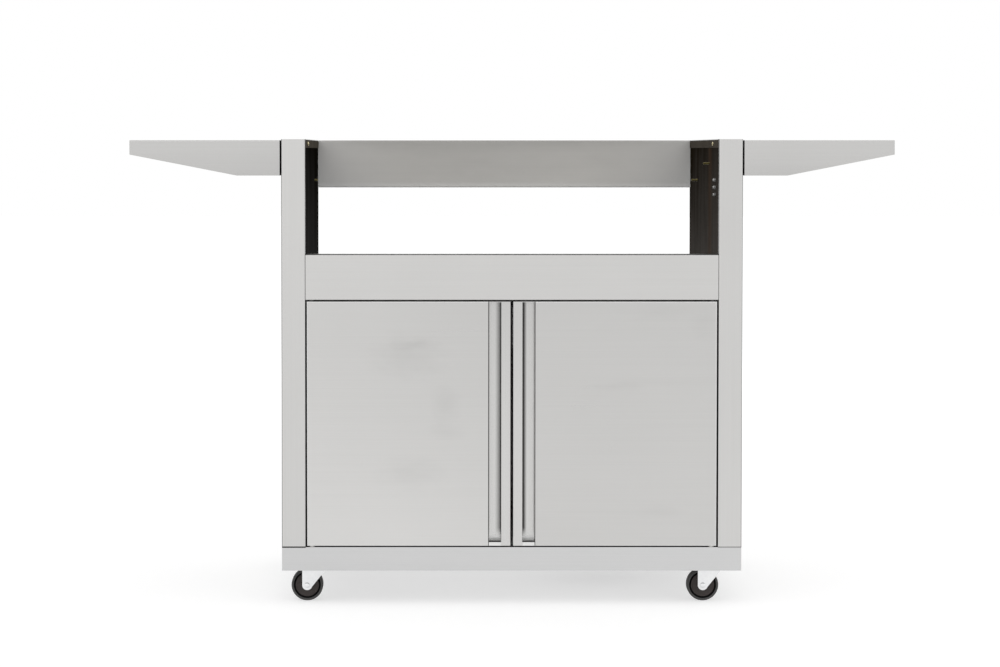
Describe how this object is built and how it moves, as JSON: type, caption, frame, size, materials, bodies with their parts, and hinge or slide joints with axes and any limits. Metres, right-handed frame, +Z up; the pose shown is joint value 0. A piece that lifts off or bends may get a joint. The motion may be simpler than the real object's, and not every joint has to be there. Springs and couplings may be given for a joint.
{
  "type": "grill cart",
  "caption": "Rolling stainless steel cart for a drop-in grill, with an open bay on top, a two-door cabinet, fold-down side shelves and swivel casters.",
  "frame": {"origin": "middle of the footprint, on the floor under the casters", "axes": "+X to the right seen from the front, +Y to the back, +Z up"},
  "size_m": [1.514, 0.61, 0.926],
  "materials": {
    "stainless": "fine satin grain",
    "inner_stainless": "dull satin grain",
    "dark_liner": "dark satin",
    "rail_grey": "dull grey",
    "zinc_sheet": "dull zinc coating",
    "bright_zinc": "bright zinc plating",
    "yellow_zinc": "yellow zinc plating",
    "hub_plastic": "dark grey moulded",
    "tyre_rubber": "black rubber",
    "black_rubber": "black rubber",
    "black_plastic": "black moulded",
    "white_nylon": "natural nylon"
  },
  "bodies": {
    "cart": {"base_pan": "stainless", "left_side_panel": "stainless", "right_side_panel": "stainless", "front_apron": "stainless", "rear_panel": "stainless", "back_upper_rail": "inner_stainless", "left_inner_panel": "dark_liner", "right_inner_panel": "dark_liner", "left_top_rail": "rail_grey", "right_top_rail": "rail_grey", "left_caster_rail": "zinc_sheet", "right_caster_rail": "zinc_sheet", "wall_stiffeners": "zinc_sheet", "heat_shield": "zinc_sheet", "shelf_brackets": "zinc_sheet", "caster_top_plates": "bright_zinc", "caster_plate_bolts": "bright_zinc", "caster_kingpins": "bright_zinc", "dome_nuts": "bright_zinc", "liner_screws": "bright_zinc", "door_pivot_pins": "bright_zinc", "shelf_pivots": "bright_zinc", "rail_screws": "yellow_zinc", "shelf_bracket_bolts": "yellow_zinc", "hose_grommet": "black_rubber", "door_magnets": "black_plastic"},
    "left_door": {"left_door_skin": "stainless", "left_door_pull": "stainless", "left_door_back": "inner_stainless", "left_door_bushings": "white_nylon", "left_door_strike": "zinc_sheet"},
    "left_shelf": {"left_shelf_pan": "stainless", "left_shelf_stiffener": "zinc_sheet", "left_shelf_lugs": "zinc_sheet"},
    "right_door": {"right_door_skin": "stainless", "right_door_pull": "stainless", "right_door_back": "inner_stainless", "right_door_bushings": "white_nylon", "right_door_strike": "zinc_sheet"},
    "right_shelf": {"right_shelf_pan": "stainless", "right_shelf_stiffener": "zinc_sheet", "right_shelf_lugs": "zinc_sheet"},
    "front_left_caster_fork": {"front_left_fork": "bright_zinc", "front_left_axle": "bright_zinc"},
    "front_left_caster_wheel": {"front_left_hub": "hub_plastic", "front_left_tyre": "tyre_rubber"},
    "front_right_caster_fork": {"front_right_fork": "bright_zinc", "front_right_axle": "bright_zinc"},
    "front_right_caster_wheel": {"front_right_hub": "hub_plastic", "front_right_tyre": "tyre_rubber"},
    "rear_left_caster_fork": {"rear_left_fork": "bright_zinc", "rear_left_axle": "bright_zinc"},
    "rear_left_caster_wheel": {"rear_left_hub": "hub_plastic", "rear_left_tyre": "tyre_rubber"},
    "rear_right_caster_fork": {"rear_right_fork": "bright_zinc", "rear_right_axle": "bright_zinc"},
    "rear_right_caster_wheel": {"rear_right_hub": "hub_plastic", "rear_right_tyre": "tyre_rubber"}
  },
  "joints": [
    {"name": "left_door_hinge", "type": "hinge", "parent": "cart", "child": "left_door", "pos_m": [-0.397, -0.299, 0.36125], "axis": [0, 0, -1], "range_deg": [0, 110]},
    {"name": "left_shelf_hinge", "type": "hinge", "parent": "cart", "child": "left_shelf", "pos_m": [-0.47, 0.009, 0.861], "axis": [0, -1, 0], "range_deg": [0, 90]},
    {"name": "right_door_hinge", "type": "hinge", "parent": "cart", "child": "right_door", "pos_m": [0.397, -0.299, 0.36125], "axis": [0, 0, 1], "range_deg": [0, 110]},
    {"name": "right_shelf_hinge", "type": "hinge", "parent": "cart", "child": "right_shelf", "pos_m": [0.47, 0.009, 0.861], "axis": [0, 1, 0], "range_deg": [0, 90]},
    {"name": "front_left_swivel", "type": "hinge", "parent": "cart", "child": "front_left_caster_fork", "pos_m": [-0.397, -0.243, 0.07], "axis": [0, 0, 1], "continuous": true},
    {"name": "front_left_roll", "type": "hinge", "parent": "front_left_caster_fork", "child": "front_left_caster_wheel", "pos_m": [-0.409, -0.243, 0.03175], "axis": [0, 1, 0], "continuous": true},
    {"name": "front_right_swivel", "type": "hinge", "parent": "cart", "child": "front_right_caster_fork", "pos_m": [0.397, -0.243, 0.07], "axis": [0, 0, 1], "continuous": true},
    {"name": "front_right_roll", "type": "hinge", "parent": "front_right_caster_fork", "child": "front_right_caster_wheel", "pos_m": [0.385, -0.243, 0.03175], "axis": [0, 1, 0], "continuous": true},
    {"name": "rear_left_swivel", "type": "hinge", "parent": "cart", "child": "rear_left_caster_fork", "pos_m": [-0.397, 0.243, 0.07], "axis": [0, 0, 1], "continuous": true},
    {"name": "rear_left_roll", "type": "hinge", "parent": "rear_left_caster_fork", "child": "rear_left_caster_wheel", "pos_m": [-0.409, 0.243, 0.03175], "axis": [0, 1, 0], "continuous": true},
    {"name": "rear_right_swivel", "type": "hinge", "parent": "cart", "child": "rear_right_caster_fork", "pos_m": [0.397, 0.243, 0.07], "axis": [0, 0, 1], "continuous": true},
    {"name": "rear_right_roll", "type": "hinge", "parent": "rear_right_caster_fork", "child": "rear_right_caster_wheel", "pos_m": [0.385, 0.243, 0.03175], "axis": [0, 1, 0], "continuous": true}
  ]
}
